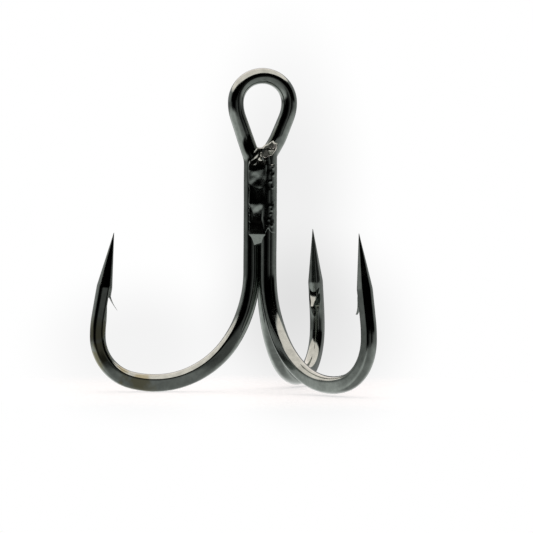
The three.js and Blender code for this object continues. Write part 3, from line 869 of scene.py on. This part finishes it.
# What the hook sees around it: (bearing in degrees from the camera, to its right; light) stops, by height.
WALL_LIGHT = [
    (-180, 0.35), (-150, 0.45), (-120, 0.6), (-95, 0.55), (-82, 0.4), (-72, 0.04), (-62, 0.0), (82, 0.0),
    (98, 0.35), (115, 0.5), (150, 0.42), (180, 0.35)]
LEVEL_LIGHT = [
    (-180, 0.3), (-124, 0.28), (-100, 0.32), (-78, 0.3), (-64, 0.1), (-50, 0.0), (-12, 0.0), (-2, 0.04),
    (9, 0.05), (14, 0.18), (24, 0.18), (30, 0.0), (50, 0.06), (66, 0.26), (81, 0.38), (100, 0.45),
    (130, 0.4), (180, 0.3)]
FLOOR_LIGHT = [
    (-180, 1.1), (-140, 1.5), (-104, 1.05), (-72, 0.9), (-38, 0.95), (-14, 0.5), (8, 0.38), (30, 0.45),
    (60, 0.62), (95, 0.75), (140, 1.0), (180, 1.1)]
FLOOR_EDGE = [(-180, 11), (-68, 11), (-52, 15), (30, 15), (45, 11), (180, 11)]  # degrees below the horizon
SOFT_BOX_EDGE = [(-180, 30), (-140, 22), (-75, 24), (-40, 40), (30, 42), (85, 34), (150, 30), (180, 30)]
SOFT_BOX_LIGHT = 2.3
SOFT_BOX_COLOUR = (1.1, 0.96, 0.92, 1)
NADIR_LIGHT = 0.5
PAPER_LIGHT = 0.97  # what lights the floor, the only dull surface here
WHITE = (1, 1, 1, 1)
RAMP_WHITE = 2  # the light that a ramp's white stands for, since a ramp's levels end at 1
NADIR_BLUR = (-30, -65)  # degrees of height over which one light gives way to the next
FLOOR_BLUR = (-6, 6.5)
WALL_BLUR = (-0.8, 4)
SOFT_BOX_BLUR = (-3, 4)
# Soft shading on the backdrop behind the hook: millimetres right of the aim and above it, half sizes, depth.
BACKDROP_SHADES = [(2, 8, 10, 22, 0.13), (6, -8, 13, 12, 0.17), (-16, -10, 13, 9, 0.1)]
SHADE_FADE = (0.2, 1.25)  # shares of the half sizes between which a shade fades out


def add_studio_light():
    """A light tent as seen from the hook: dark behind the camera, a soft box above, pale sides and floor."""
    world = bpy.data.worlds.new("studio")
    bpy.context.scene.world = world
    world.use_nodes = True
    tree = world.node_tree
    tree.nodes.clear()
    ray = node(tree, "ShaderNodeTexCoord").outputs["Generated"]

    def part(axis):
        along = node(tree, "ShaderNodeVectorMath", {0: ray, 1: tuple(axis)}, operation="DOT_PRODUCT")
        return along.outputs["Value"]

    def ramp(stops, scale=1.0):
        return curve_of(tree, turn, [(0.5 + bearing / 360, level / scale) for bearing, level in stops])

    level_back = Vector((BACK.x, BACK.y, 0)).normalized()
    turn = maths(tree, "ARCTAN2", part(SIDE), part(level_back))
    turn = maths(tree, "MULTIPLY_ADD", turn, 1 / (2 * math.pi), 0.5)
    lift = maths(tree, "MULTIPLY", maths(tree, "ARCSINE", part((0, 0, 1))), 180 / math.pi)

    def mix(share, low, high):
        rest = maths(tree, "SUBTRACT", 1.0, share)
        return maths(tree, "ADD", maths(tree, "MULTIPLY", low, rest), maths(tree, "MULTIPLY", high, share))

    light = mix(steps(tree, lift, *NADIR_BLUR), ramp(FLOOR_LIGHT, RAMP_WHITE), NADIR_LIGHT / RAMP_WHITE)
    sunk = maths(tree, "MULTIPLY_ADD", ramp(FLOOR_EDGE, 90), 90.0, lift)
    light = mix(steps(tree, sunk, *FLOOR_BLUR), light, ramp(LEVEL_LIGHT, RAMP_WHITE))
    light = mix(steps(tree, lift, *WALL_BLUR), light, ramp(WALL_LIGHT, RAMP_WHITE))
    over = maths(tree, "SUBTRACT", lift, maths(tree, "MULTIPLY", ramp(SOFT_BOX_EDGE, 90), 90.0))
    boxed = steps(tree, over, *SOFT_BOX_BLUR)
    light = maths(tree, "MULTIPLY", mix(boxed, light, SOFT_BOX_LIGHT / RAMP_WHITE), RAMP_WHITE)
    colour = mixed_colour(tree, boxed, WHITE, SOFT_BOX_COLOUR)
    glow = node(tree, "ShaderNodeBackground", {"Strength": light, "Color": colour})

    paper = node(tree, "ShaderNodeBackground", {"Strength": PAPER_LIGHT, "Color": WHITE})
    backdrop = node(tree, "ShaderNodeBackground", {"Strength": backdrop_level(tree, part), "Color": WHITE})
    path = node(tree, "ShaderNodeLightPath").outputs
    seen = glow
    for ray_kind, instead in (("Is Diffuse Ray", paper), ("Is Camera Ray", backdrop)):
        seen = node(tree, "ShaderNodeMixShader",
                    {0: path[ray_kind], 1: seen.outputs[0], 2: instead.outputs[0]})
    node(tree, "ShaderNodeOutputWorld", {0: seen.outputs[0]})


def backdrop_level(tree, part):
    """How white the backdrop is, with BACKDROP_SHADES on it. part gives the ray's share along an axis."""
    shown = 1.0
    behind = steps(tree, part(BACK), 0.0, -0.5)
    for right, above, wide, tall, depth in BACKDROP_SHADES:
        across = maths(tree, "MULTIPLY_ADD", part(SIDE), CAMERA_DISTANCE / (wide * MM), -right / wide)
        along = maths(tree, "MULTIPLY_ADD", part(ABOVE), CAMERA_DISTANCE / (tall * MM), -above / tall)
        away = maths(tree, "POWER", maths(tree, "ADD", maths(tree, "MULTIPLY", across, across),
                                          maths(tree, "MULTIPLY", along, along)), 0.5)
        shade = maths(tree, "MULTIPLY", steps(tree, away, *SHADE_FADE, depth, 0.0), behind)
        shown = maths(tree, "SUBTRACT", shown, shade)
    return shown


# ---------------------------------------------------------------- assembly

bpy.context.scene.view_settings.view_transform = "Standard"

add_camera()
add_studio_light()
add_floor()

nickel = metal_material("black_nickel_wire", (0.212, 0.235, 0.215), roughness=0.09, lines=0.0016,
                        lumps=0.0025, tarnish=(0.165, 0.162, 0.11))
plated_braze = metal_material("black_nickel_braze", (0.215, 0.24, 0.22), roughness=0.13, lines=0, lumps=0.005)
# The sheared end's broken metal is rougher. Its very dark tint is partly painted shade in the pit inside the
# rim.
torn_steel_and_pit_shade = metal_material("sheared_steel_and_pit_shade", (0.027, 0.031, 0.028), roughness=0.26, lines=0, lumps=0.05)


def dull_and_shade_crater(obj):
    """The broken metal inside the sheared end's rim takes the second material, whose very dark tint is partly
    painted shade of the pit.
    """
    for polygon in obj.data.polygons:
        x, y, z = (value / MM for value in polygon.center)
        from_axis = math.hypot(x, y + WIRE_OFFSET)
        inside = from_axis < (1 - RIM_WIDTH * DULL_EDGE) * WIRE_RADIUS and z > TORN_START_Z
        polygon.material_index = int(inside)


def dress(obj, material, slot, *nodes):
    """Gives a finished piece its material and body, and hides the CAD nodes that it stands for. slot is not
    used.
    """
    obj.data.materials.clear()
    obj.data.materials.append(material)
    finish_shading(obj)
    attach(obj, "root")
    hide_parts(*nodes)


dress(double_hook_wire(), nickel, "hook_wire", "double_hook_wire")
single = single_hook_wire()
dress(single, nickel, "hook_wire", "single_hook_wire")
single.data.materials.append(torn_steel_and_pit_shade)
dull_and_shade_crater(single)

left_fill = groove_fill(
    "left", [(-20.2, 1.43), (-18.6, 1.7), (-18.4, 1.7), (-17.4, 1.65), (-16.5, 1.55), (-15.5, 1.65),
             (-14.6, 1.73), (-13.2, 1.66), (-12.85, 1.66), (-10.6, 1.87), (-10.1, 1.87), (-9.4, 1.7),
             (-8.0, 1.25)],
    (33, 66), 0.03, seed=41, top=-9.4, shy=0.9,
    lumps=[(-10.1, 262, 0.13, 0.05), (-10.45, 267, 0.12, 0.05), (-10.9, 260, 0.12, 0.04),
           (-11.3, 267, 0.13, 0.05), (-12.1, 257, 0.14, 0.05), (-12.9, 264, 0.12, 0.04),
           (-15.1, 257, 0.14, 0.05), (-15.7, 262, 0.12, 0.05), (-16.1, 258, 0.12, 0.04),
           (-16.85, 252, 0.16, 0.07), (-17.6, 263, 0.12, 0.04)])
right_fill = groove_fill(
    "right", [(-20.2, 1.38), (-18.5, 1.665), (-16, 1.6), (-13, 1.66), (-9.6, 1.64), (-8, 1.2)],
    (34, 38), 0.028, seed=47,
    lumps=[(-13.5, 322, 0.6, 0.05)])
rear_fill = groove_fill(
    "rear", [(-20.2, 1.4), (-18.5, 1.66), (-15, 1.6), (-12, 1.66), (-9.6, 1.62), (-8, 1.3)],
    (36, 36), 0.028, seed=53,
    lumps=[(-16.2, 96, 0.6, 0.05), (-12.0, 84, 0.7, 0.04)])
dress(left_fill, plated_braze, "braze", "braze_left_groove")
dress(right_fill, plated_braze, "braze", "braze_right_groove")
dress(rear_fill, plated_braze, "braze", "braze_rear_groove")
dress(eye_web(), plated_braze, "braze", "braze_eye_web")

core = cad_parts["braze_core"]
core.data.materials.clear()
core.data.materials.append(plated_braze)
